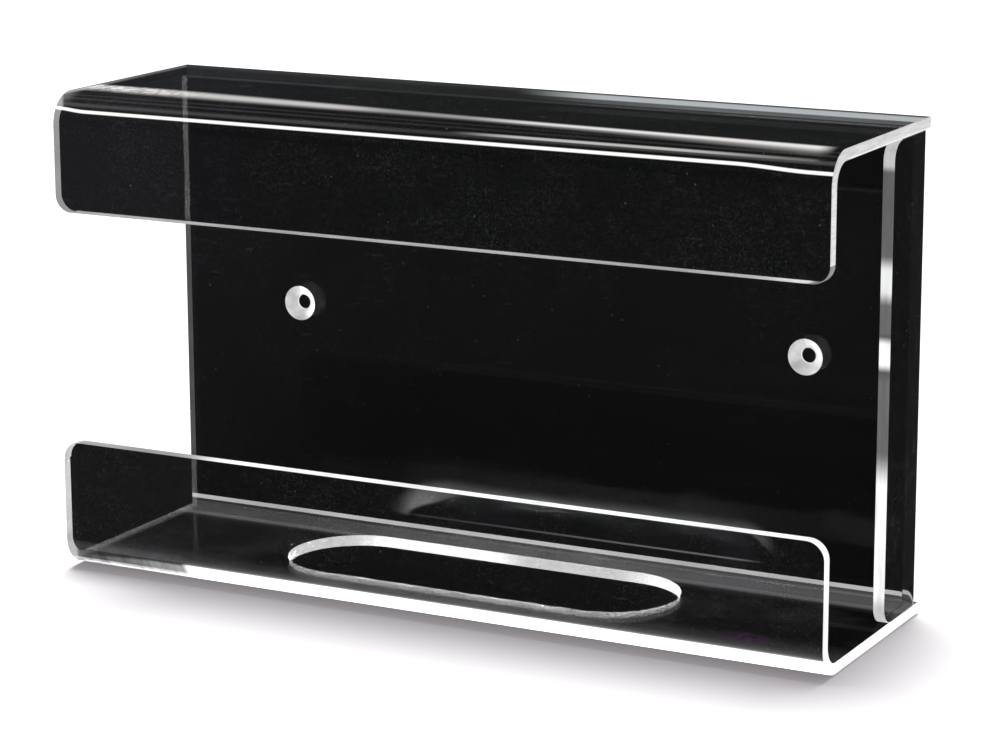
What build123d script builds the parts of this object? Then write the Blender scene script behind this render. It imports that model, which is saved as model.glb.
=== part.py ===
from build123d import *
import os

# Wall-mount dispenser for one carton of disposable gloves, made of clear
# acrylic sheet of one thickness.  Three heat-bent sheets are bonded together:
#   top_hood     roof panel with a front flap bent down
#   bottom_tray  floor panel with a front lip bent up and a long oval hand slot
#   back_plate   back panel with two countersunk screw holes, and a short side
#                wing bent forward at its right end
# The left end is open, so that the carton slides in.
# Frame: +X along the length, to the right as seen from the front.
#        front at -Y, wall side at +Y, +Z up.
#        origin at the centre of the footprint, on the underside of the floor.

# ---- driving dimensions, millimetres ---------------------------------------
LENGTH = 238.5          # along X
DEPTH = 70.5            # along Y
HEIGHT = 140.0          # along Z
SHEET = 3.2             # sheet thickness everywhere

BEND_IN = 6.0           # inside radius of the two long front bends
BEND_OUT = BEND_IN + SHEET
FLAP_BOTTOM = 106.0     # height of the flap's lower edge
LIP_TOP = 38.3          # height of the lip's upper edge
FLAP_CORNER = 5.0       # corner radius of the flap
LIP_CORNER = 5.5        # corner radius of the lip

WING_REACH = 27.0       # side wing, measured forward from the wall face
WING_BEND_IN = 1.6      # inside radius of the wing's bend
WING_BEND_OUT = WING_BEND_IN + SHEET
WING_CORNER = 5.5       # front corners of the wing

SLOT_LENGTH = 122.4     # oval hand slot, overall
SLOT_WIDTH = 40.4
SLOT_X = -3.4           # centre of the slot
SLOT_Y = 5.55

HOLE_X = (-78.8, 85.2)  # the two screw holes
HOLE_Z = 70.5
HOLE_D = 4.4            # through hole
SINK_D = 10.4           # countersink at the inner face
SINK_DEPTH = 2.4

# ---- derived ----------------------------------------------------------------
XL, XR = -LENGTH / 2, LENGTH / 2
YF, YB = -DEPTH / 2, DEPTH / 2
QUARTER = 0.5 ** 0.5


def arc_mid(cy, cz, r, sy, sz):
    """Middle point of a quarter arc about (cy, cz), towards the signs sy, sz."""
    return (cy + sy * r * QUARTER, cz + sz * r * QUARTER)


def bent_profile(z_flat, z_tip, up):
    """Closed section, in (y, z), of a panel with its front edge bent over.

    z_flat is the outer face of the panel, z_tip the free edge of the bent leg,
    up is +1 when the leg rises from the panel and -1 when it hangs from it.
    """
    z_in = z_flat + up * SHEET
    cy = YF + BEND_OUT
    cz = z_flat + up * BEND_OUT
    outer_mid = arc_mid(cy, cz, BEND_OUT, -1, -up)
    inner_mid = arc_mid(cy, cz, BEND_IN, -1, -up)
    lines = [
        Line((YB, z_in), (YB, z_flat)),
        Line((YB, z_flat), (cy, z_flat)),
        ThreePointArc((cy, z_flat), outer_mid, (YF, cz)),
        Line((YF, cz), (YF, z_tip)),
        Line((YF, z_tip), (YF + SHEET, z_tip)),
        Line((YF + SHEET, z_tip), (YF + SHEET, cz)),
        ThreePointArc((YF + SHEET, cz), inner_mid, (cy, z_in)),
        Line((cy, z_in), (YB, z_in)),
    ]
    return make_face(Wire(lines))


def extrude_along_length(face):
    """Stand a (y, z) face up at the left end and run it along the length."""
    return extrude(Plane.YZ.offset(XL) * face, amount=LENGTH)


def corner_edges(solid, z_tip):
    """The two short edges across the sheet at the free corners of a bent leg."""
    return [
        e
        for e in solid.edges().filter_by(Axis.Y)
        if abs(e.center().Z - z_tip) < 1e-3 and e.center().Y < YF + SHEET
    ]


# ---- top hood ---------------------------------------------------------------
top_hood = extrude_along_length(bent_profile(HEIGHT, FLAP_BOTTOM, -1))
top_hood = fillet(corner_edges(top_hood, FLAP_BOTTOM), FLAP_CORNER)

# ---- bottom tray --------------------------------------------------------------
bottom_tray = extrude_along_length(bent_profile(0.0, LIP_TOP, +1))
bottom_tray = fillet(corner_edges(bottom_tray, LIP_TOP), LIP_CORNER)
slot = extrude(
    Plane.XY.offset(-1.0)
    * Pos(SLOT_X, SLOT_Y)
    * SlotOverall(SLOT_LENGTH, SLOT_WIDTH),
    amount=SHEET + 2.0,
)
bottom_tray = bottom_tray - slot

# ---- back plate with its side wing --------------------------------------------
bx, by = XR - WING_BEND_OUT, YB - WING_BEND_OUT
plan = [
    Line((XL, YB), (XL, YB - SHEET)),
    Line((XL, YB - SHEET), (bx, YB - SHEET)),
    ThreePointArc(
        (bx, YB - SHEET),
        (bx + WING_BEND_IN * QUARTER, by + WING_BEND_IN * QUARTER),
        (XR - SHEET, by),
    ),
    Line((XR - SHEET, by), (XR - SHEET, YB - WING_REACH)),
    Line((XR - SHEET, YB - WING_REACH), (XR, YB - WING_REACH)),
    Line((XR, YB - WING_REACH), (XR, by)),
    ThreePointArc(
        (XR, by),
        (bx + WING_BEND_OUT * QUARTER, by + WING_BEND_OUT * QUARTER),
        (bx, YB),
    ),
    Line((bx, YB), (XL, YB)),
]
back_plate = extrude(
    Plane.XY.offset(SHEET) * make_face(Wire(plan)), amount=HEIGHT - 2 * SHEET
)
wing_edges = [
    e
    for e in back_plate.edges().filter_by(Axis.X)
    if abs(e.center().Y - (YB - WING_REACH)) < 1e-3
]
back_plate = fillet(wing_edges, WING_CORNER)

for hx in HOLE_X:
    # axis runs along +Y, from the inner face to the wall face
    through = Pos(hx, YB - SHEET / 2, HOLE_Z) * Rot(90, 0, 0) * Cylinder(
        HOLE_D / 2, SHEET * 3
    )
    cone = Pos(hx, YB - SHEET + SINK_DEPTH / 2, HOLE_Z) * Rot(90, 0, 0) * Cone(
        HOLE_D / 2, SINK_D / 2, SINK_DEPTH
    )
    back_plate = back_plate - through - cone

# ---- write one file for each sheet ----------------------------------------------
os.makedirs("parts", exist_ok=True)
for name, shape in {
    "top_hood": top_hood,
    "bottom_tray": bottom_tray,
    "back_plate": back_plate,
}.items():
    solid = shape.solids()[0]
    solid.label = name
    box = solid.bounding_box()
    print(
        name,
        "solids", len(shape.solids()),
        "valid", solid.is_valid,
        "volume", round(solid.volume, 1),
        "min", [round(v, 2) for v in (box.min.X, box.min.Y, box.min.Z)],
        "max", [round(v, 2) for v in (box.max.X, box.max.Y, box.max.Z)],
    )
    export_step(solid, os.path.join("parts", name + ".step"))
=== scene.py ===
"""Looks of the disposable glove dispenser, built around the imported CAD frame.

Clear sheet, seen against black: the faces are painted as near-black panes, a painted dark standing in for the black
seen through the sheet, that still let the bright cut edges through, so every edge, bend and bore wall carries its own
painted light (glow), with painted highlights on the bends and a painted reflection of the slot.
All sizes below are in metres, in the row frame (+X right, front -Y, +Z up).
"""

import math

import bmesh
import bpy
from mathutils import Matrix, Vector


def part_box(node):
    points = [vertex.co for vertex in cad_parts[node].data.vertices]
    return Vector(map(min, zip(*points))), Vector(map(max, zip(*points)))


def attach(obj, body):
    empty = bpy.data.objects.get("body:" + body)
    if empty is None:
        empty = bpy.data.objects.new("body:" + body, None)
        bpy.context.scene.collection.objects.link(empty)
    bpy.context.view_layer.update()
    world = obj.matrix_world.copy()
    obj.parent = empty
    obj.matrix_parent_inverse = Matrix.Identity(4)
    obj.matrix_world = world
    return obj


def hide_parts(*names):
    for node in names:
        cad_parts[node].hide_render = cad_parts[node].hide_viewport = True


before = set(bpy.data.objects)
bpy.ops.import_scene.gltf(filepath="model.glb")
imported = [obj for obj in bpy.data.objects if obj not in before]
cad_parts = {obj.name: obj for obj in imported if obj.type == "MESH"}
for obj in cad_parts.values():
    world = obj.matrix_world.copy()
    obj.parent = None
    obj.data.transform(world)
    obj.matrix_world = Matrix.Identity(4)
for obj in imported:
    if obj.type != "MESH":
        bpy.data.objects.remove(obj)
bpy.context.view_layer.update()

# ----------------------------------------------------------------------------
# sizes, from the CAD nodes
# ----------------------------------------------------------------------------
hood_lo, hood_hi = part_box("top_hood")
tray_lo, tray_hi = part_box("bottom_tray")
back_lo, back_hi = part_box("back_plate")

XL, XR = hood_lo.x, hood_hi.x
YF, YB = hood_lo.y, hood_hi.y
H = hood_hi.z
T = 0.0032
R_OUT = 0.0092
R_IN = R_OUT - T
FLAP_BOTTOM = hood_lo.z
LIP_TOP = tray_hi.z
FLAP_CORNER = 0.0050
LIP_CORNER = 0.0055
WING_REACH = 0.0270
WING_OUT = 0.0048
WING_CORNER = 0.0055
SLOT_L, SLOT_W = 0.1224, 0.0404
SLOT_X, SLOT_Y = -0.0034, 0.00555
HOLES = ((-0.0788, 0.0705), (0.0852, 0.0705))
HOLE_R, SINK_R, SINK_D = 0.0022, 0.0052, 0.0024
SKIN = 0.00012  # a dark film closing each bore at the wall face: painted shade, so that the open bore reads black
BEVEL = 0.00022
CLEAR = 0.05  # share of light that one face of a pane lets through
COAT = 0.02  # weight of the gloss on a pane

# ----------------------------------------------------------------------------
# camera, fitted to the CAD outline
# ----------------------------------------------------------------------------
cam_data = bpy.data.cameras.new("cam")
cam_data.sensor_fit = "HORIZONTAL"
cam_data.sensor_width = 36.0
cam_data.lens = 118.527
cam_data.clip_start = 0.05
cam_data.clip_end = 60.0
cam = bpy.data.objects.new("cam", cam_data)
bpy.context.scene.collection.objects.link(cam)
right = Vector((0.886318, 0.463067, -0.002957))
up = Vector((-0.101456, 0.200410, 0.974445))
ahead = Vector((-0.451826, 0.863368, -0.224608))
cam.matrix_world = Matrix(
    (
        (right.x, up.x, -ahead.x, 0.424932),
        (right.y, up.y, -ahead.y, -0.800685),
        (right.z, up.z, -ahead.z, 0.272739),
        (0, 0, 0, 1),
    )
)
bpy.context.scene.camera = cam
bpy.context.scene.view_settings.view_transform = "Standard"
bpy.context.scene.view_settings.look = "None"


# ----------------------------------------------------------------------------
# shader arithmetic: small wrappers that lay down Math nodes
# ----------------------------------------------------------------------------
class V:
    """A number inside a node tree."""

    def __init__(self, nt, out):
        self.nt, self.out = nt, out

    def _op(self, kind, *others, clamp=False):
        n = self.nt.nodes.new("ShaderNodeMath")
        n.operation = kind
        n.use_clamp = clamp
        for i, o in enumerate((self,) + others):
            if isinstance(o, V):
                self.nt.links.new(o.out, n.inputs[i])
            else:
                n.inputs[i].default_value = float(o)
        return V(self.nt, n.outputs[0])

    def __add__(self, o):
        return self._op("ADD", o)

    def __radd__(self, o):
        return self._op("ADD", o)

    def __sub__(self, o):
        return self._op("SUBTRACT", o)

    def __rsub__(self, o):
        return self._op("MULTIPLY", -1.0)._op("ADD", o)

    def __mul__(self, o):
        return self._op("MULTIPLY", o)

    def __rmul__(self, o):
        return self._op("MULTIPLY", o)

    def __truediv__(self, o):
        return self._op("DIVIDE", o)

    def abs(self):
        return self._op("ABSOLUTE")

    def max(self, o):
        return self._op("MAXIMUM", o)

    def min(self, o):
        return self._op("MINIMUM", o)

    def pow(self, o):
        return self._op("POWER", o)

    def sqrt(self):
        return self._op("SQRT")

    def atan2(self, o):
        return self._op("ARCTAN2", o)

    def ramp(self, lo, hi, a=0.0, b=1.0):
        """a below lo, b above hi, smooth between."""
        n = self.nt.nodes.new("ShaderNodeMapRange")
        n.interpolation_type = "SMOOTHSTEP"
        self.nt.links.new(self.out, n.inputs["Value"])
        n.inputs["From Min"].default_value = lo
        n.inputs["From Max"].default_value = hi
        n.inputs["To Min"].default_value = a
        n.inputs["To Max"].default_value = b
        return V(self.nt, n.outputs["Result"])

    def band(self, lo, hi, soft):
        """1 between lo and hi, 0 outside, with soft edges."""
        return self.ramp(lo - soft, lo + soft) * self.ramp(hi - soft, hi + soft, 1.0, 0.0)


class Coords:
    """Object-space position of the shaded point, in millimetres."""

    def __init__(self, nt):
        self.nt = nt
        tc = nt.nodes.new("ShaderNodeTexCoord")
        sep = nt.nodes.new("ShaderNodeSeparateXYZ")
        nt.links.new(tc.outputs["Object"], sep.inputs[0])
        self.vec = tc.outputs["Object"]
        self.x = V(nt, sep.outputs[0]) * 1000.0
        self.y = V(nt, sep.outputs[1]) * 1000.0
        self.z = V(nt, sep.outputs[2]) * 1000.0

    def inside(self):
        """1 where a face is seen through the sheet, from within; 0 from outside."""
        g = self.nt.nodes.new("ShaderNodeNewGeometry")
        return V(self.nt, g.outputs["Backfacing"])

    def noise(self, per_mm, detail=2.0, rough=0.5, stretch=(1, 1, 1), offset=(0, 0, 0)):
        m = self.nt.nodes.new("ShaderNodeMapping")
        m.inputs["Scale"].default_value = [s * per_mm * 1000.0 for s in stretch]
        m.inputs["Location"].default_value = offset
        self.nt.links.new(self.vec, m.inputs["Vector"])
        n = self.nt.nodes.new("ShaderNodeTexNoise")
        n.inputs["Scale"].default_value = 1.0
        n.inputs["Detail"].default_value = detail
        n.inputs["Roughness"].default_value = rough
        self.nt.links.new(m.outputs[0], n.inputs["Vector"])
        return V(self.nt, n.outputs["Fac"])

    def cells(self, per_mm, offset=(0, 0, 0)):
        """Distance to the nearest of scattered points, in cells."""
        m = self.nt.nodes.new("ShaderNodeMapping")
        m.inputs["Scale"].default_value = [per_mm * 1000.0] * 3
        m.inputs["Location"].default_value = offset
        self.nt.links.new(self.vec, m.inputs["Vector"])
        n = self.nt.nodes.new("ShaderNodeTexVoronoi")
        n.inputs["Scale"].default_value = 1.0
        self.nt.links.new(m.outputs[0], n.inputs["Vector"])
        return V(self.nt, n.outputs["Distance"]), n.outputs["Color"]


def gain(nt, mirror):
    """Light of an edge as it comes through clear sheet: what the dark faces in front take away is given back.
    mirror is how much of it a glossy face reflects, against a face of full gloss."""
    lp = nt.nodes.new("ShaderNodeLightPath")
    mirrored = V(nt, lp.outputs["Is Glossy Ray"])
    seen = V(nt, lp.outputs["Is Camera Ray"]).max(mirrored)
    depth = V(nt, lp.outputs["Transparent Depth"]) * seen
    n = nt.nodes.new("ShaderNodeMath")
    n.operation = "POWER"
    n.inputs[0].default_value = 1.0 / CLEAR
    nt.links.new(depth.min(6.0).out, n.inputs[1])
    return V(nt, n.outputs[0]) * (1.0 + mirrored * (mirror / COAT - 1.0)) * (1.0 - V(nt, lp.outputs["Is Diffuse Ray"]))


def material(name):
    m = bpy.data.materials.new(name)
    m.use_nodes = True
    nt = m.node_tree
    p = nt.nodes["Principled BSDF"]
    m.cycles.emission_sampling = "NONE"
    return m, nt, p


def mix_colour(nt, fac, a, b):
    n = nt.nodes.new("ShaderNodeMix")
    n.data_type = "RGBA"
    nt.links.new(fac.out, n.inputs["Factor"])
    for sock, c in (("A", a), ("B", b)):
        s = [i for i in n.inputs if i.name == sock and i.type == "RGBA"][0]
        if isinstance(c, (tuple, list)):
            s.default_value = (*c[:3], 1.0)
        else:
            nt.links.new(c, s)
    return [o for o in n.outputs if o.type == "RGBA"][0]


def dust(c):
    """Specks, short hairline scratches and a patchy haze, as on acrylic that hands have touched: 0 clean to 1."""
    patch = c.noise(0.045, 3.0, 0.6).ramp(0.34, 0.68)
    fine = c.noise(2.1, 2.0, 0.6, offset=(3.1, 7.7, 1.3)).ramp(0.44, 0.76)
    grain = c.noise(0.55, 2.0, 0.6, offset=(9.0, 2.0, 4.0)).ramp(0.52, 0.80)
    dist, _ = c.cells(0.22, offset=(0.4, 0.9, 0.2))
    specks = dist.ramp(0.03, 0.09, 1.0, 0.0) * c.noise(0.09, 1.0, 0.5, offset=(6.0, 6.0, 1.0)).ramp(0.42, 0.6)
    scratch = c.noise(0.9, 1.0, 0.5, stretch=(0.12, 0.12, 1.0), offset=(5.0, 1.0, 2.0)).ramp(0.70, 0.76)
    return (fine * 0.12 + grain * 0.07) * (patch * 0.6 + 0.4) + specks * 0.40 + scratch * patch * 0.08


# Pane colours as (base, left, dust amount): the near-black tones are painted dark, standing in for the black seen
# through the clear sheet; the dust amount is real dust.
HOOD_SKIN = ((0.0056, 0.0062, 0.0060), (0.0088, 0.0094, 0.0112), 0.20)
TRAY_SKIN = ((0.0056, 0.0061, 0.0062), (0.0050, 0.0056, 0.0056), 0.20)
BACK_SKIN = ((0.0022, 0.0025, 0.0024), (0.0044, 0.0050, 0.0058), 0.20)


def painted_dark_and_dust(nt, c, skin, haze=None):
    """Painted near-black colour of a pane, standing in for the dark seen through the clear sheet, a little paler to
    the left (a little darker on the tray), with dust on it.
    """
    base, left, dirt = skin
    clean = mix_colour(nt, c.x.ramp(-125.0, -20.0), left, base)
    d = dust(c) * dirt
    if haze is not None:
        d = d + haze(c)
    return mix_colour(nt, d._op("MULTIPLY", 1.0, clamp=True), clean, (0.75, 0.76, 0.80))


def pane(name, skin, haze=None, lit=None):
    m, nt, p = material(name)
    c = Coords(nt)
    nt.links.new(painted_dark_and_dust(nt, c, skin, haze), p.inputs["Base Color"])
    # lit(c) paints a dim glow onto the pane: the painted reflection of the slot's rim on the back plate
    if lit is not None:
        p.inputs["Emission Color"].default_value = (0.055, 0.055, 0.057, 1)
        nt.links.new((gain(nt, 0.06) * lit(c)).out, p.inputs["Emission Strength"])
    rough = c.noise(0.5, 3.0, 0.6, offset=(1.0, 2.0, 3.0)).ramp(0.3, 0.8, 0.035, 0.11)
    nt.links.new(rough.out, p.inputs["Roughness"])
    p.inputs["IOR"].default_value = 1.49
    p.inputs["Specular IOR Level"].default_value = 0.0
    p.inputs["Coat Weight"].default_value = COAT
    p.inputs["Coat Roughness"].default_value = 0.03
    p.inputs["Coat IOR"].default_value = 1.49
    p.inputs["Alpha"].default_value = 1.0 - CLEAR
    return m


def mixv(f, a, b):
    """a where f is 0, b where it is 1."""
    return f * b + (1.0 - f) * a


def glow(name, level, pattern=None, tint=(1.0, 1.0, 1.0), alpha=1.0, base=0.06, bump=None, mirror=0.06, skin=None, spot=None):
    """A face painted with glow (emission), standing in for light carried inside the sheet. level is its usual
    brightness; pattern(c) varies it about 1.
    spot is (tint, f): where f(c) is 1 the light takes that tint."""
    m, nt, p = material(name)
    c = Coords(nt)
    p.inputs["Base Color"].default_value = (base, base, base, 1)
    if alpha < 1.0:  # part of a pane: same gloss as the rest of it
        p.inputs["Roughness"].default_value = 0.06
        p.inputs["Specular IOR Level"].default_value = 0.0
        p.inputs["Coat Weight"].default_value = COAT
        p.inputs["Coat Roughness"].default_value = 0.03
        p.inputs["Coat IOR"].default_value = 1.49
    else:
        p.inputs["Roughness"].default_value = 0.38
        p.inputs["Specular IOR Level"].default_value = 0.2
    if skin is not None:
        nt.links.new(painted_dark_and_dust(nt, c, skin), p.inputs["Base Color"])
    p.inputs["Emission Color"].default_value = (*[level * t for t in tint], 1)
    p.inputs["Alpha"].default_value = alpha
    g = gain(nt, mirror)
    if pattern is not None:
        g = g * pattern(c)
    nt.links.new(g.out, p.inputs["Emission Strength"])
    if spot is not None:
        mix = nt.nodes.new("ShaderNodeMix")
        mix.data_type = "RGBA"
        nt.links.new(spot[1](c).out, mix.inputs[0])
        mix.inputs[6].default_value = (*[level * t for t in tint], 1)
        mix.inputs[7].default_value = (*[level * t for t in spot[0]], 1)
        nt.links.new(mix.outputs[2], p.inputs["Emission Color"])
    if bump is not None:
        b = nt.nodes.new("ShaderNodeBump")
        b.inputs["Strength"].default_value = 0.35
        b.inputs["Distance"].default_value = 0.0002
        nt.links.new(bump(c).out, b.inputs["Height"])
        nt.links.new(b.outputs[0], p.inputs["Normal"])
    return m


def saw(c):
    """Fine marks of the cut, across the thickness."""
    return c.noise(1.2, 3.0, 0.6, stretch=(1.0, 1.0, 1.0))


# ----------------------------------------------------------------------------
# bent sheets
# ----------------------------------------------------------------------------
class Path:
    """The outer face of a bent sheet, as points and inward directions along its length."""

    def __init__(self):
        self.knots = []  # (s, point, inward)
        self.s = 0.0

    def line(self, a, b, inward, stops):
        a, b = Vector(a), Vector(b)
        length = (b - a).length
        for k in stops:
            self._add(self.s + k * length, a + (b - a) * k, Vector(inward))
        self.s += length

    def arc(self, centre, radius, start, end, stops):
        """start and end are directions from the centre to the face; inward is towards the centre."""
        start, end, centre = Vector(start), Vector(end), Vector(centre)
        turn = start.angle(end)
        for k in stops:
            ang = turn * k
            d = (start * math.cos(ang) + end * math.sin(ang)).normalized()
            self._add(self.s + radius * ang, centre + d * radius, -d)
        self.s += radius * turn

    def _add(self, s, p, n):
        if self.knots and abs(self.knots[-1][0] - s) < 1e-9:
            return
        self.knots.append((s, p, n))

    def at(self, s):
        k = self.knots
        s = min(max(s, k[0][0]), k[-1][0])
        for (s0, p0, n0), (s1, p1, n1) in zip(k, k[1:]):
            if s <= s1 + 1e-12:
                f = 0 if s1 == s0 else (s - s0) / (s1 - s0)
                return p0.lerp(p1, f), n0.lerp(n1, f).normalized()
        return k[-1][1], k[-1][2]


def bent_sheet(name, path, across, lo, hi, corner, columns, mats, face_mat, edge_mat, flip_first_corner=None):
    """A sheet of thickness T along path, from lo to hi along the unit vector across, with its two
    free corners at the path's end rounded, and its cut edges lightly broken.
    face_mat(side, s, w) and edge_mat(which, s, broken) give the material index of a face; broken says that
    it is on the broken corner rather than on the cut edge itself."""
    S = path.s
    arc_n = 12
    inner_s = [s for s, _, _ in path.knots if 1e-9 < s < S - corner - 1e-6]

    def rows(b):
        out = [(b, lo + b, hi - b)]
        out += [(s, lo + b, hi - b) for s in inner_s]
        for k in range(arc_n + 1):
            a = math.pi / 2 * k / arc_n
            out.append(
                (
                    S - corner + (corner - b) * math.sin(a),
                    lo + corner - (corner - b) * math.cos(a),
                    hi - corner + (corner - b) * math.cos(a),
                )
            )
        return out

    cols = sorted(set(list(columns) + [lo + corner + 0.0006, hi - corner - 0.0006]))
    ncol = len(cols) + 2

    def point(row, j, depth):
        s, wl, wh = row
        if j == 0 or j == ncol - 1:
            w = wl if j == 0 else wh
        else:  # a column that the rounded corner runs into slides along it
            w = min(max(cols[j - 1], wl + 0.00012 * j), wh - 0.00012 * (ncol - 1 - j))
        p, n = path.at(s)
        return p + n * depth + across * w

    bm = bmesh.new()
    q = 1 - math.sqrt(0.5)
    layers = [
        (BEVEL, 0.0),
        (BEVEL * q, BEVEL * q),
        (0.0, BEVEL),
        (0.0, T - BEVEL),
        (BEVEL * q, T - BEVEL * q),
        (BEVEL, T),
    ]
    nrow = len(rows(0.0))
    ring = (
        [(i, ncol - 1) for i in range(nrow)]
        + [(nrow - 1, j) for j in range(ncol - 2, -1, -1)]
        + [(i, 0) for i in range(nrow - 2, -1, -1)]
        + [(0, j) for j in range(1, ncol - 1)]
    )
    verts = []
    for li, (b, depth) in enumerate(layers):
        rr = rows(b)
        table = {}
        full = li in (0, len(layers) - 1)
        cells = [(i, j) for i in range(nrow) for j in range(ncol)] if full else ring
        for i, j in cells:
            table[i, j] = bm.verts.new(point(rr[i], j, depth))
        verts.append(table)
    base_rows = rows(0.0)
    for li, side in ((0, "outer"), (len(layers) - 1, "inner")):
        tb = verts[li]
        for i in range(nrow - 1):
            for j in range(ncol - 1):
                f = bm.faces.new((tb[i, j], tb[i + 1, j], tb[i + 1, j + 1], tb[i, j + 1]))
                sm = (base_rows[i][0] + base_rows[i + 1][0]) / 2
                wa = base_rows[i][1] if j == 0 else cols[j - 1]
                wb = base_rows[i][2] if j == ncol - 2 else cols[j]
                f.material_index = face_mat(side, sm, (wa + wb) / 2)
    for li in range(len(layers) - 1):
        a, b = verts[li], verts[li + 1]
        for k in range(len(ring)):
            p, r = ring[k], ring[(k + 1) % len(ring)]
            f = bm.faces.new((a[p], a[r], b[r], b[p]))
            rounded = min(p[0], r[0]) >= nrow - 1 - arc_n
            if p[1] == ncol - 1 and r[1] == ncol - 1:
                which = "hi_corner" if rounded else "hi"
            elif p[1] == 0 and r[1] == 0:
                which = "lo_corner" if rounded else "lo"
            elif p[0] == 0 and r[0] == 0:
                which = "start"
            else:
                which = "tip"
            sm = (base_rows[p[0]][0] + base_rows[r[0]][0]) / 2
            f.material_index = edge_mat(which, sm, li != 2)
    bmesh.ops.recalc_face_normals(bm, faces=bm.faces)
    for f in bm.faces:
        f.smooth = True
    me = bpy.data.meshes.new(name)
    bm.to_mesh(me)
    bm.free()
    for m in mats:
        me.materials.append(m)
    me.set_sharp_from_angle(angle=math.radians(16))
    ob = bpy.data.objects.new(name, me)
    bpy.context.scene.collection.objects.link(ob)
    return ob


def cutter(name, rings, mats, mat_of=None, cap=0):
    """A closed solid through rings of points, each ring a list of the same length."""
    bm = bmesh.new()
    vs = [[bm.verts.new(p) for p in ring] for ring in rings]
    n = len(rings[0])
    for i in range(len(rings) - 1):
        for k in range(n):
            f = bm.faces.new((vs[i][k], vs[i][(k + 1) % n], vs[i + 1][(k + 1) % n], vs[i + 1][k]))
            f.material_index = mat_of(i) if mat_of else 0
    bm.faces.new(vs[0])
    bm.faces.new(vs[-1]).material_index = cap
    bmesh.ops.recalc_face_normals(bm, faces=bm.faces)
    me = bpy.data.meshes.new(name)
    bm.to_mesh(me)
    bm.free()
    for m in mats:
        me.materials.append(m)
    ob = bpy.data.objects.new(name, me)
    bpy.context.scene.collection.objects.link(ob)
    return ob


def cut(ob, tool):
    mod = ob.modifiers.new("cut", "BOOLEAN")
    mod.operation = "DIFFERENCE"
    mod.solver = "EXACT"
    mod.object = tool
    mod.material_mode = "TRANSFER"
    bpy.context.view_layer.update()
    dg = bpy.context.evaluated_depsgraph_get()
    me = bpy.data.meshes.new_from_object(ob.evaluated_get(dg), depsgraph=dg)
    ob.modifiers.clear()
    old = ob.data
    ob.data = me
    bpy.data.meshes.remove(old)
    t = tool.data
    bpy.data.objects.remove(tool)
    bpy.data.meshes.remove(t)
    for p in me.polygons:
        p.use_smooth = True
    me.set_sharp_from_angle(angle=math.radians(16))


def stadium(grow, z, n=48):
    """Oval outline of the hand slot, grown outwards, at height z."""
    r = SLOT_W / 2 + grow
    half = SLOT_L / 2 - SLOT_W / 2
    pts = []
    for side in (1, -1):
        for k in range(n + 1):
            a = -math.pi / 2 + math.pi * k / n
            pts.append(
                (
                    SLOT_X + side * (half + r * math.cos(a)),
                    SLOT_Y + side * r * math.sin(a),
                    z,
                )
            )
    return pts


def circle(cx, cz, r, y, n=72):
    return [
        (cx + r * math.cos(2 * math.pi * k / n), y, cz + r * math.sin(2 * math.pi * k / n))
        for k in range(n)
    ]


# ----------------------------------------------------------------------------
# materials
# ----------------------------------------------------------------------------
def bend_angle(c, top):
    """Degrees round a long front bend: 0 where the flat panel ends, 90 where the upright leg starts."""
    cy = YF * 1000 + R_OUT * 1000
    cz = (H * 1000 - R_OUT * 1000) if top else R_OUT * 1000
    back = cy - c.y
    rise = (c.z - cz) if top else (cz - c.z)
    return back.atan2(rise) * 57.29578


def along_bend(c, top):
    """Millimetres along the outer face from where the bend starts: negative on the flat panel."""
    ahead_mm = (YF + R_OUT) * 1000 - c.y
    arc = bend_angle(c, top) * (R_OUT * 1000 / 57.29578)
    on = ahead_mm.ramp(-0.01, 0.01)
    return mixv(on, ahead_mm, arc)


def hood_bend_light(c):
    """Long highlights where the hood turns down, relative to a level of 0.1."""
    a = bend_angle(c, True)
    # broad upper highlight: on the roof at the left, running onto the bend at the right
    d = (along_bend(c, True) - (c.x * 0.043 - 2.95) + 0.6) / c.x.ramp(-100.0, 40.0, 1.9, 1.0) - 0.6
    body = d.ramp(-4.6, -2.0) * d.ramp(0.6, 4.0, 1.0, 0.0)
    core = d.band(-2.4, 0.8, 1.2)
    beads = c.noise(0.95, 2.0, 0.5, stretch=(1.0, 0.35, 0.35)).ramp(0.34, 0.66)
    leftish = c.x.ramp(-104.0, -70.0, 1.0, 0.0)
    dip = c.x.band(-24.0, 18.0, 12.0)
    strength = 1.0 + leftish * (0.7 - beads * 1.0) - dip * 0.50
    ends = c.x.ramp(-119.0, -116.0) * c.x.ramp(111.5, 117.5, 1.0, 0.0)
    upper = (body * 3.4 + core * 3.4 * c.x.ramp(-30.0, 70.0, 0.75, 1.5)) * strength * ends
    # thinner line below it, bright on the right half, and faint streaks
    mid_on = c.x.ramp(6.0, 30.0) * c.x.ramp(70.0, 114.0, 1.0, 0.22) * c.x.ramp(112.0, 115.5, 1.0, 0.0)
    mid = a.band(41.2, 46.4, 1.5) * (mid_on * 5.0)
    streak = c.noise(0.05, 2.0, 0.5, stretch=(0.15, 1.0, 1.0), offset=(3.0, 3.0, 3.0)).ramp(0.35, 0.65, 0.5, 1.3)
    faint = (a.band(20.0, 24.0, 2.5) * 0.22 + a.band(31.0, 34.5, 2.5) * 0.30 + a.band(44.0, 51.0, 2.5) * 0.48) * streak
    # sharp lower line: lifts a little at the left end and drops at the right
    centre = 60.5 - c.x.ramp(-119.3, -109.0, 4.2, 0.0) + c.x.ramp(92.0, 113.0, 0.0, 5.0)
    e = (a - centre).abs()
    lower = e.ramp(2.0, 4.0, 1.0, 0.0) * 11.0
    # glow that gathers at the left corner
    corner = c.x.ramp(-119.3, -113.5, 1.0, 0.0) * a.band(-40.0, 40.0, 14.0) * 1.5
    return upper + mid + faint + lower + corner


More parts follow.
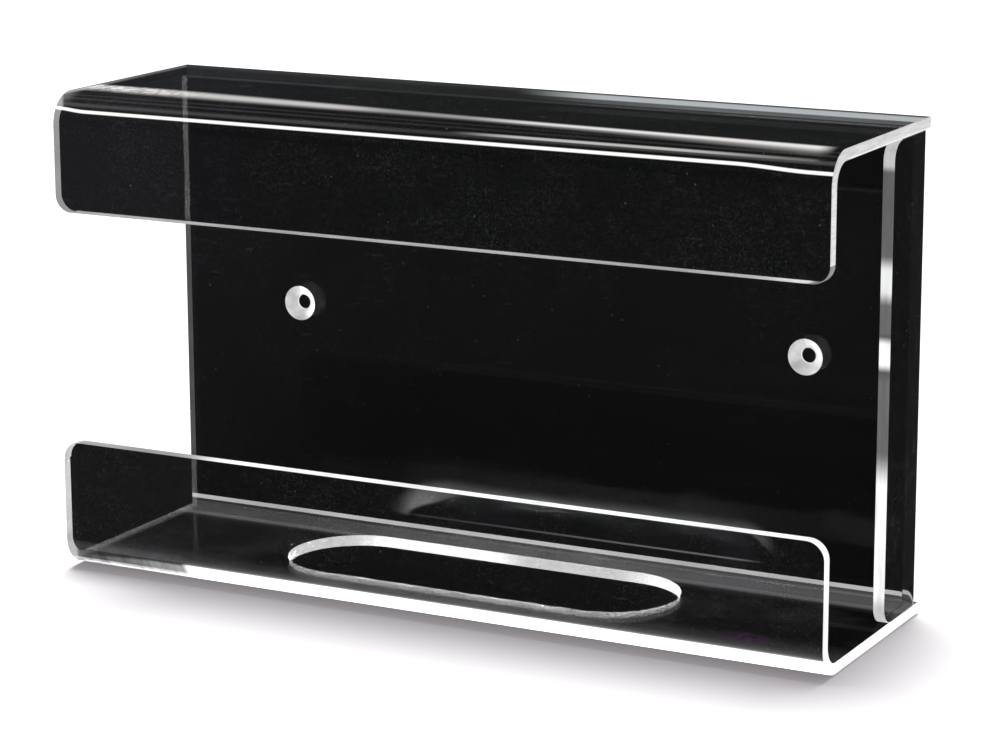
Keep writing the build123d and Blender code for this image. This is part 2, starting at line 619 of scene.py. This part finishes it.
def tray_bend_light(c):
    """Bright band along the tray's front bend, relative to a level of 0.25."""
    a = bend_angle(c, False)
    left = c.x.ramp(-80.5, -77.0)
    wide = a.ramp(67.0, 70.0, 1.0, 0.0) * left * 4.4
    wavy = c.noise(0.35, 3.0, 0.6, stretch=(1.0, 0.2, 0.2)).ramp(0.3, 0.7, 0.6, 1.25)
    thin = a.ramp(44.0, 50.0, 1.0, 0.0) * (1.0 - left) * wavy * 1.9
    above = a.band(54.0, 84.0, 8.0) * c.x.ramp(-118.0, -84.0, 0.16, 0.10) * (1.0 - left) * wavy
    rise = c.x.ramp(-118.0, -96.0, 0.25, 0.60) + c.x.ramp(-99.0, -84.0, 0.0, 0.65)
    start = (a + c.x.ramp(-114.0, -90.0, 8.0, 0.0)).ramp(62.0, 70.0, 1.0, 0.0) * rise * (1.0 - left) * wavy
    soft = (a.ramp(66.0, 74.0, 1.0, 0.0) + a.ramp(66.0, 84.0, 0.30, 0.0)) * left
    return wide + thin + above + start + soft


def edge_soft(c):
    return c.noise(0.06, 2.0, 0.5).ramp(0.3, 0.7, 0.85, 1.12)


def wing_front_light(c):
    """Zones of light along the wing's front edge, top to bottom."""
    z = c.z
    v = z.band(129.5, 140.0, 1.2) * 0.54
    v = v + z.band(104.5, 129.5, 1.2) * 0.10
    v = v + z.band(94.5, 104.0, 2.2) * 0.80
    v = v + z.band(84.0, 94.0, 1.5) * 0.11
    v = v + z.band(75.5, 83.0, 1.4) * 1.05
    v = v + z.band(50.0, 74.5, 4.0) * 0.12
    v = v + z.ramp(41.5, 53.0, 1.0, 0.0) * z.ramp(8.0, 13.0, 0.62, 1.0) * 0.98
    return v * c.noise(0.9, 3.0, 0.6, stretch=(1.0, 1.0, 0.10)).ramp(0.25, 0.75, 0.86, 1.12)


def hood_left_light(c):
    """Left cut edge of the hood, relative to 0.42. Seen through the roof only its upper rim shows."""
    rim = mixv(c.inside(), 1.0, c.z.ramp(138.9, 139.8) * c.y.ramp(-30.0, 30.0, 1.0, 0.45))
    on_roof = c.y.ramp(-31.0, -29.0)
    return mixv(on_roof, 1.0, rim) * edge_soft(c)


def hood_rear_light(c):
    """Rear cut edge of the roof, relative to 0.5. Through the roof it shows as a pale band above a grey one."""
    from_top = 140.0 - c.z
    on = c.x.ramp(-8.0, 22.0)
    pale = from_top.band(0.50, 1.85, 0.16) * 0.90
    streak = c.noise(0.02, 3.0, 0.6, stretch=(0.5, 1.0, 8.0), offset=(2.0, 0.0, 5.0)).ramp(0.35, 0.65, 0.7, 1.2)
    grey = from_top.ramp(0.4, 0.6, 0.18, 0.0) + from_top.ramp(1.7, 2.0) * (c.x.ramp(0.0, 60.0, 0.12, 0.22) * streak)
    left = from_top.ramp(0.2, 1.6, 0.06, 0.015)
    seen = mixv(on, left, pale + grey)
    return mixv(c.inside(), edge_soft(c), seen)


def roof_rear_light(c):
    """Grey that tails off in front of the rear band, right half of the roof, relative to 0.03."""
    streak = c.noise(0.10, 3.0, 0.6, stretch=(0.1, 3.0, 1.0), offset=(2.0, 0.0, 5.0)).ramp(0.35, 0.65, 0.6, 1.3)
    return c.y.band(14.0, 25.0, 4.0) * c.x.ramp(0.0, 55.0) * c.x.ramp(100.0, 116.0, 1.0, 0.4) * streak


def slot_light(c):
    """Wall of the hand slot, relative to 0.95: the far wall is bright, the near one greyer."""
    far = c.x.band(-52.0, -4.0, 6.0).max(c.x.ramp(28.0, 46.0)) * 0.46 + 0.60
    drop = c.z.ramp(1.0, 1.9, 0.035, 0.24) + c.z.ramp(1.9, 3.1, 0.0, 0.20)
    return mixv(c.inside(), far, drop) * c.noise(0.5, 2.0, 0.5).ramp(0.3, 0.7, 0.93, 1.05)


def lip_top_light(c):
    """Top cut edge of the lip, relative to 0.95: grey at the left, white from there on."""
    return c.x.ramp(-78.0, -62.0, 0.36, 1.1) * edge_soft(c)


def flap_tip_light(c):
    """Lower cut edge of the flap, relative to 0.4."""
    return c.x.ramp(95.0, 112.0, 1.0, 1.7) * c.x.ramp(112.2, 114.0, 1.0, 0.30) * edge_soft(c)


def end_light(c):
    """Right cut edge of the hood, relative to 0.72: a paler rim below a streaky face."""
    streak = c.noise(0.30, 3.0, 0.6, stretch=(1.0, 0.5, 5.0), offset=(1.0, 4.0, 2.0)).ramp(0.3, 0.7, 0.86, 1.16)
    rim = c.z.band(136.9, 137.35, 0.25) * c.y.ramp(-26.0, -22.0) * 0.35
    low = c.z.ramp(104.0, 110.5, 0.35, 1.22) * c.z.ramp(127.0, 137.0, 1.0, 0.84)
    return (streak + rim) * low


def sink_light(c):
    """Frosted countersink with a painted glow on it, relative to 0.6."""
    return c.noise(0.22, 2.0, 0.5, offset=(7.0, 1.0, 4.0)).ramp(0.3, 0.7, 0.72, 1.35)


def back_haze(c):
    """Faint level streaks on the back plate."""
    low = c.noise(0.10, 3.0, 0.6, stretch=(0.08, 1.0, 1.0), offset=(1.0, 3.0, 9.0)).ramp(0.48, 0.72)
    line = c.z.band(118.5, 119.3, 0.5) * c.x.ramp(70.0, 104.0) * c.y.ramp(30.0, 31.5)
    return low * c.z.ramp(30.0, 75.0, 1.0, 0.15) * c.x.ramp(-40.0, 60.0) * 0.012 + line * 0.03


def slot_rim_painted_reflection(c):
    """Painted reflection: a dim image of the slot's rim, painted as glow on the inner face of the back plate, relative
    to
    0.055: a soft far rim, pointed at its left end, and the thin line of the near rim."""
    ex = (c.x - 67.0).max(0.0) * (1.0 / 12.0) + (-18.0 - c.x).max(0.0) * (1.0 / 27.0)
    ez = (c.z - 9.5) * (1.0 / 12.3)
    r = (ex * ex + ez * ez).sqrt()
    inner = (r - ez.ramp(0.0, 0.45, 0.24, 0.0)).ramp(0.60, 0.70)
    outer = (r - c.x.ramp(-36.0, -14.0, 0.12, 0.0)).ramp(0.70, 1.03, 1.0, 0.0)
    tip = c.x.ramp(-48.0, -39.0, 0.3, 1.0) * c.x.ramp(-40.0, -24.0, 2.6, 1.0)
    tip = tip * (1.0 - c.x.ramp(62.0, 70.0) * c.z.ramp(12.5, 16.5, 0.8, 0.0))
    soft = c.noise(0.12, 2.0, 0.5, offset=(3.0, 8.0, 2.0)).ramp(0.3, 0.7, 0.85, 1.15)
    ring = inner * outer * tip * soft * c.z.ramp(8.4, 10.0)
    near = (c.z - 9.3).abs().ramp(0.12, 0.42, 1.0, 0.0) * c.x.ramp(-43.0, -36.0) * c.x.ramp(64.0, 75.0, 1.0, 0.0)
    return (ring + near * c.x.ramp(-35.0, 50.0, 0.5, 2.1)) * c.y.ramp(32.5, 33.4, 1.0, 0.0)


def bond_turn_light(c):
    """The bond line, a painted line of light just above the joint, dropping away on the far side of the wing's bend,
    relative to 0.46.
    """
    centre = c.y.ramp(32.9, 35.1, 3.5, 5.5)
    off = c.z - centre
    return off.abs().ramp(0.35, 0.8, 1.0, 0.0) * 0.9 + off.ramp(-0.6, -0.2, 1.0, 0.0) * 0.12


def bond_light(c):
    """Line of light just above the joint of back and floor, relative to 0.46."""
    return c.noise(0.05, 2.0, 0.5, stretch=(0.6, 0.6, 1.0)).ramp(0.3, 0.7, 0.88, 1.1)


def joint_zone_light(c):
    """Soft grey bounce on the back plate below the bond line, relative to 0.06."""
    return c.x.ramp(-110.0, 60.0, 0.40, 1.0)


def floor_light(c):
    """Painted glow on the floor panel's top face, for what it shows from above, relative to 0.02: a grey zone and a
    line in front of the joint, and a haze of glow.
    """
    run = c.x.ramp(-110.0, 60.0, 0.40, 1.0)
    near = c.y.ramp(23.5, 25.5)
    fine = c.y.band(27.6, 29.6, 0.8) * 0.5 + c.y.band(31.0, 34.0, 0.4) * 0.5
    zone = near * (1.6 + fine) * run
    line = c.y.band(22.4, 25.6, 1.1) * 3.6
    tail = c.y.ramp(18.0, 23.0) * 0.8
    # haze and grain here are noise in the painted glow
    haze = c.noise(0.05, 3.0, 0.6, offset=(2.0, 6.0, 1.0)).ramp(0.40, 0.75) * 0.55
    grain = c.noise(1.1, 2.0, 0.6, offset=(4.0, 2.0, 8.0)).ramp(0.50, 0.80) * 1.0
    left = c.x.ramp(-112.0, -60.0, 0.9, 0.0) * c.y.ramp(-24.0, 6.0, 1.0, 0.2)
    front = c.y.ramp(-27.0, -11.0, 1.9, 0.0)
    return zone + line + tail + (haze + left + front) * (0.7 + grain) + 0.10


def fringe_spot(c):
    """Where the dim purple fringe near the front right of the floor panel lies."""
    return c.x.band(84.5, 96.5, 4.5) * (c.y + c.x * 0.12).band(-9.0, -3.2, 3.2)


def fringe_light(c):
    """Floor light with the purple fringe in it, relative to 0.02."""
    rough = c.noise(0.30, 3.0, 0.6, offset=(2.0, 5.0, 5.0)).ramp(0.34, 0.62, 0.15, 1.3)
    return floor_light(c) + fringe_spot(c) * rough * 1.1


def floor_left_light(c):
    """Left cut edge of the tray, relative to 0.35. Seen through the floor only its upper rim shows."""
    rim = mixv(c.inside(), 1.0, c.z.ramp(0.6, 2.4) * 0.24)
    on_floor = c.y.ramp(-31.0, -29.0)
    lip = c.z.ramp(9.0, 12.0) * 0.5 + 1.2
    return mixv(on_floor, lip, rim) * edge_soft(c)


pane_hood = pane("pane_hood", HOOD_SKIN)
pane_tray = pane("pane_tray", TRAY_SKIN)
pane_back = pane("pane_back", BACK_SKIN, haze=back_haze)
# back plate pane with the painted reflection of the slot's rim glowing on it
pane_painted_reflection = pane("pane_painted_reflection", BACK_SKIN, haze=back_haze, lit=slot_rim_painted_reflection)

# Painted glow: each glow() material below is emission on cut edges, bends, bores and faces, standing in for light in
# the clear sheet.
cut_end = glow("cut_end", 0.52, end_light, bump=saw)
cut_soft = glow("cut_soft", 0.13, edge_soft, bump=saw)
hood_left = glow("hood_left", 0.32, hood_left_light, base=0.02, bump=saw)
hood_rear = glow("hood_rear", 0.5, hood_rear_light, tint=(0.93, 1.0, 1.03), bump=saw)
roof_rear = glow("roof_rear", 0.03, roof_rear_light, tint=(0.96, 1.0, 1.04), alpha=1.0 - CLEAR, skin=HOOD_SKIN)
flap_tip = glow("flap_tip", 0.36, flap_tip_light, base=0.02, bump=saw)
cut_white = glow("cut_white", 1.0, edge_soft, bump=saw)
lip_top = glow("lip_top", 0.95, lip_top_light, bump=saw)
tray_left = glow("tray_left", 0.35, floor_left_light, bump=saw)
back_left = glow("back_left", 0.075, edge_soft, base=0.01, bump=saw, mirror=0.5)
bonded = glow("bonded", 0.02, edge_soft, base=0.01)
bond_line = glow("bond_line", 0.46, bond_light, alpha=1.0 - CLEAR, base=0.006)
bond_turn = glow("bond_turn", 0.46, bond_turn_light, alpha=1.0 - CLEAR, skin=BACK_SKIN)
joint_zone = glow("joint_zone", 0.055, joint_zone_light, alpha=1.0 - CLEAR, skin=BACK_SKIN)
floor_top = glow("floor_top", 0.02, floor_light, tint=(0.98, 0.99, 1.04), alpha=1.0 - CLEAR, skin=TRAY_SKIN)
fringe = glow(
    "fringe", 0.02, fringe_light, tint=(0.98, 0.99, 1.04), alpha=1.0 - CLEAR, skin=TRAY_SKIN,
    spot=((1.0, 0.22, 1.05), fringe_spot),
)
wing_front = glow("wing_front", 1.0, wing_front_light, tint=(0.985, 1.0, 0.995), base=0.03, bump=saw)
hood_bend = glow("hood_bend", 0.1, hood_bend_light, tint=(1.0, 0.985, 0.96), alpha=1.0 - CLEAR, skin=HOOD_SKIN)
tray_bend = glow("tray_bend", 0.25, tray_bend_light, alpha=1.0 - CLEAR, skin=TRAY_SKIN)
slot_wall = glow("slot_wall", 0.95, slot_light, bump=saw, mirror=0.9)
sink_face = glow("sink_face", 0.42, sink_light, base=0.35, bump=saw, mirror=0.8)
bore_wall = glow("bore_wall", 0.8, None, base=0.3)

# ----------------------------------------------------------------------------
# top hood
# ----------------------------------------------------------------------------
X, Z = Vector((1, 0, 0)), Vector((0, 0, 1))
bend_stops = [k / 30 for k in range(31)]
cols_x = [XL + (XR - XL) * k / 24 for k in range(1, 24)]

cy = YF + R_OUT
path = Path()
path.line((0, YB, H), (0, cy, H), (0, 0, -1), [0, 0.1, 0.25, 0.45, 0.6, 0.7, 0.78, 0.86, 0.93, 0.965, 1])
path.arc((0, cy, H - R_OUT), R_OUT, (0, 0, 1), (0, -1, 0), bend_stops)
path.line((0, YF, H - R_OUT), (0, YF, FLAP_BOTTOM), (0, 1, 0), [0, 0.3, 0.6, 0.79, 1])
roof_len = YB - cy
bend_end = roof_len + R_OUT * math.pi / 2


def hood_face(side, s, w):
    if side == "outer" and roof_len * 0.78 < s < bend_end - 0.002:
        return 1
    if side == "outer" and roof_len * 0.1 < s < roof_len * 0.45:
        return 7
    return 0


def hood_edge(which, s, broken):
    if broken and which in ("lo", "lo_corner", "start"):
        return 0
    return {"hi": 2, "start": 4, "tip": 5, "hi_corner": 6}.get(which, 3)


hood = bent_sheet(
    "hood_sheet", path, X, XL, XR, FLAP_CORNER, cols_x,
    [pane_hood, hood_bend, cut_end, hood_left, hood_rear, flap_tip, cut_soft, roof_rear], hood_face, hood_edge,
)

# ----------------------------------------------------------------------------
# bottom tray
# ----------------------------------------------------------------------------
path = Path()
FRINGE_S = 0.0400
path.line((0, YB, 0), (0, cy, 0), (0, 0, 1), [0, T / roof_len, 0.15, 0.25, FRINGE_S / roof_len, 0.95, 1])
path.arc((0, cy, R_OUT), R_OUT, (0, 0, -1), (0, -1, 0), bend_stops)
path.line((0, YF, R_OUT), (0, YF, LIP_TOP), (0, 1, 0), [0, 0.3, 0.6, 0.79, 1])


def tray_face(side, s, w):
    if side == "outer" and roof_len - 0.001 < s < bend_end - 0.0005:
        return 1
    if side == "inner" and s < roof_len + 0.0005:
        return 7 if s > FRINGE_S and XR - 0.042 < w < XR - 0.009 else 6
    return 0


def tray_edge(which, s, broken):
    if broken and which in ("lo", "start"):
        return 0
    return {"hi": 2, "hi_corner": 2, "start": 4, "tip": 5}.get(which, 3)


tray = bent_sheet(
    "tray_sheet", path, X, XL, XR, LIP_CORNER, cols_x,
    [pane_tray, tray_bend, cut_white, tray_left, bonded, lip_top, floor_top, fringe], tray_face, tray_edge,
)
b = BEVEL
cut(
    tray,
    cutter(
        "slot_cutter",
        [
            stadium(b + 0.001, -0.001),
            stadium(0.0, b),
            stadium(0.0, T - b),
            stadium(b + 0.001, T + 0.001),
        ],
        [slot_wall],
    ),
)

# ----------------------------------------------------------------------------
# back plate with its wing
# ----------------------------------------------------------------------------
path = Path()
bx, by = XR - WING_OUT, YB - WING_OUT
path.line((XL, YB, 0), (bx, YB, 0), (0, -1, 0), [0, 0.02, 0.25, 0.5, 0.75, 1])
path.arc((bx, by, 0), WING_OUT, (0, 1, 0), (1, 0, 0), [k / 16 for k in range(17)])
path.line((XR, by, 0), (XR, YB - WING_REACH, 0), (-1, 0, 0), [0, 0.5, 1])


BOND_LO, BOND_HI, TURN_HI = 0.0052, 0.0065, 0.0078
# below this height the back plate carries the painted reflection of the slot's rim
PAINTED_REFLECTION_HI = 0.0235


def back_face(side, s, w):
    straight = bx - XL
    if side == "inner" and w < BOND_HI and s < straight + 0.0045:
        return 4 if w > BOND_LO else 5
    if side == "inner" and w < PAINTED_REFLECTION_HI and straight * 0.25 < s < straight:
        return 7
    if side == "outer" and w < TURN_HI and straight < s < straight + WING_OUT * math.pi / 2:
        return 6
    return 0


def back_edge(which, s, broken):
    if broken and which == "start":
        return 0
    return {"start": 2, "tip": 1, "hi_corner": 1, "lo_corner": 1}.get(which, 3)


plate = bent_sheet(
    "plate_sheet", path, Z, back_lo.z, back_hi.z, WING_CORNER,
    [BOND_LO, BOND_HI, TURN_HI, PAINTED_REFLECTION_HI] + [back_lo.z + (back_hi.z - back_lo.z) * k / 8 for k in range(1, 8)],
    [pane_back, wing_front, back_left, bonded, bond_line, joint_zone, bond_turn, pane_painted_reflection], back_face, back_edge,
)
for hx, hz in HOLES:
    slope = (SINK_R - HOLE_R) / SINK_D
    y0 = YB - T
    cut(
        plate,
        cutter(
            "sink_cutter",
            [
                circle(hx, hz, SINK_R + slope * 0.001, y0 - 0.001),
                circle(hx, hz, HOLE_R, y0 + SINK_D),
                # the bore stops short of the wall face, closed there by the film of painted shade
                circle(hx, hz, HOLE_R, YB - SKIN),
            ],
            [sink_face, bore_wall, pane_back],
            mat_of=lambda i: i,
            cap=2,
        ),
    )

for ob, node in ((hood, "top_hood"), (tray, "bottom_tray"), (plate, "back_plate")):
    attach(ob, "root")
    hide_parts(node)

# ----------------------------------------------------------------------------
# stage and light
# ----------------------------------------------------------------------------
me = bpy.data.meshes.new("stage_floor")
me.from_pydata([(-12, -12, -0.0003), (12, -12, -0.0003), (12, 12, -0.0003), (-12, 12, -0.0003)], [], [(0, 1, 2, 3)])
floor = bpy.data.objects.new("stage_floor", me)
bpy.context.scene.collection.objects.link(floor)
fm, fnt, fp = material("stage_pale")
fp.inputs["Base Color"].default_value = (0.88, 0.875, 0.88, 1)
fp.inputs["Roughness"].default_value = 0.9
fp.inputs["Specular IOR Level"].default_value = 0.0
fp.inputs["Emission Color"].default_value = (1.0, 0.93, 0.985, 1)
fp.inputs["Emission Strength"].default_value = 0.21
me.materials.append(fm)

world = bpy.data.worlds.new("studio")
bpy.context.scene.world = world
world.use_nodes = True
bg = world.node_tree.nodes["Background"]
bg.inputs["Color"].default_value = (1.0, 0.96, 1.0, 1)
bg.inputs["Strength"].default_value = 0.24

sun_data = bpy.data.lights.new("key", "SUN")
sun_data.energy = 3.5
sun_data.angle = math.radians(24)
sun_data.color = (1.0, 1.0, 1.0)
sun = bpy.data.objects.new("key", sun_data)
bpy.context.scene.collection.objects.link(sun)
aim = Vector((0.12, -0.16, -1.0)).normalized()
sun.rotation_mode = "QUATERNION"
sun.rotation_quaternion = aim.to_track_quat("-Z", "Y")
